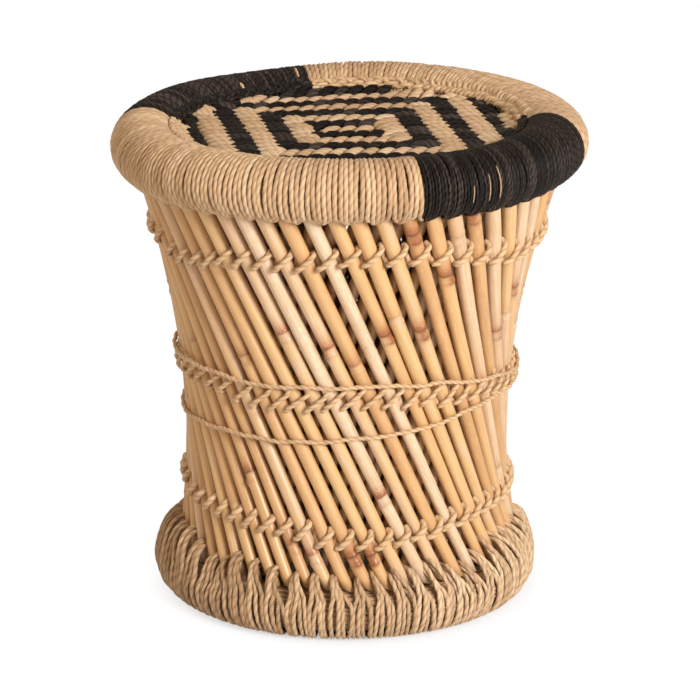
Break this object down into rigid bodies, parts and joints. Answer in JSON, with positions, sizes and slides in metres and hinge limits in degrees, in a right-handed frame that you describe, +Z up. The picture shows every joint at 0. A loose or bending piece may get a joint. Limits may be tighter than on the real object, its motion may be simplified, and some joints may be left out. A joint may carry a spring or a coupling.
{
  "type": "mudda stool",
  "caption": "Round hourglass stool of slanted canes in two layers, with cord-wound rim and foot ring, lashed rows and a woven rope seat.",
  "frame": {"origin": "on the floor, under the middle of the seat", "axes": "+Z up; -Y towards the side the picture shows; +X to that view's right"},
  "size_m": [0.383, 0.3826, 0.4],
  "materials": {
    "cane": "smooth natural cane skin, slightly glossy, pale straw to tan with darker nodes",
    "natural_cord": "twisted natural grass rope, matt and fibrous",
    "black_cord": "twisted rope dyed black, soft sheen",
    "grass_core": "bundled grass stalks, hidden under the winding"
  },
  "bodies": {
    "root": {"outer_canes_01": "cane", "outer_canes_02": "cane", "outer_canes_03": "cane", "outer_canes_04": "cane", "outer_canes_05": "cane", "outer_canes_06": "cane", "outer_canes_07": "cane", "outer_canes_08": "cane", "outer_canes_09": "cane", "outer_canes_10": "cane", "outer_canes_11": "cane", "outer_canes_12": "cane", "outer_canes_13": "cane", "outer_canes_14": "cane", "outer_canes_15": "cane", "outer_canes_16": "cane", "outer_canes_17": "cane", "outer_canes_18": "cane", "inner_canes_01": "cane", "inner_canes_02": "cane", "inner_canes_03": "cane", "inner_canes_04": "cane", "inner_canes_05": "cane", "inner_canes_06": "cane", "inner_canes_07": "cane", "inner_canes_08": "cane", "inner_canes_09": "cane", "inner_canes_10": "cane", "inner_canes_11": "cane", "inner_canes_12": "cane", "inner_canes_13": "cane", "inner_canes_14": "cane", "inner_canes_15": "cane", "inner_canes_16": "cane", "inner_canes_17": "cane", "inner_canes_18": "cane", "rim_core": "grass_core", "foot_core": "grass_core", "rim_winding_natural_front": "natural_cord", "rim_winding_natural_back": "natural_cord", "foot_winding_front": "natural_cord", "foot_winding_right": "natural_cord", "foot_winding_left": "natural_cord", "rim_winding_black_right": "black_cord", "rim_winding_black_left": "black_cord", "upper_lashing": "natural_cord", "waist_lashing": "natural_cord", "lower_lashing": "natural_cord", "waist_cord_upper": "natural_cord", "waist_cord_lower": "natural_cord", "rim_braid": "natural_cord", "seat_weave_natural": "natural_cord", "seat_black_bar_back": "black_cord", "seat_black_bar_front": "black_cord", "seat_black_square_inner": "black_cord", "seat_black_square_outer": "black_cord", "seat_black_edge_right": "black_cord", "seat_black_edge_back": "black_cord", "seat_black_edge_left": "black_cord", "seat_black_edge_front": "black_cord"}
  },
  "joints": []
}
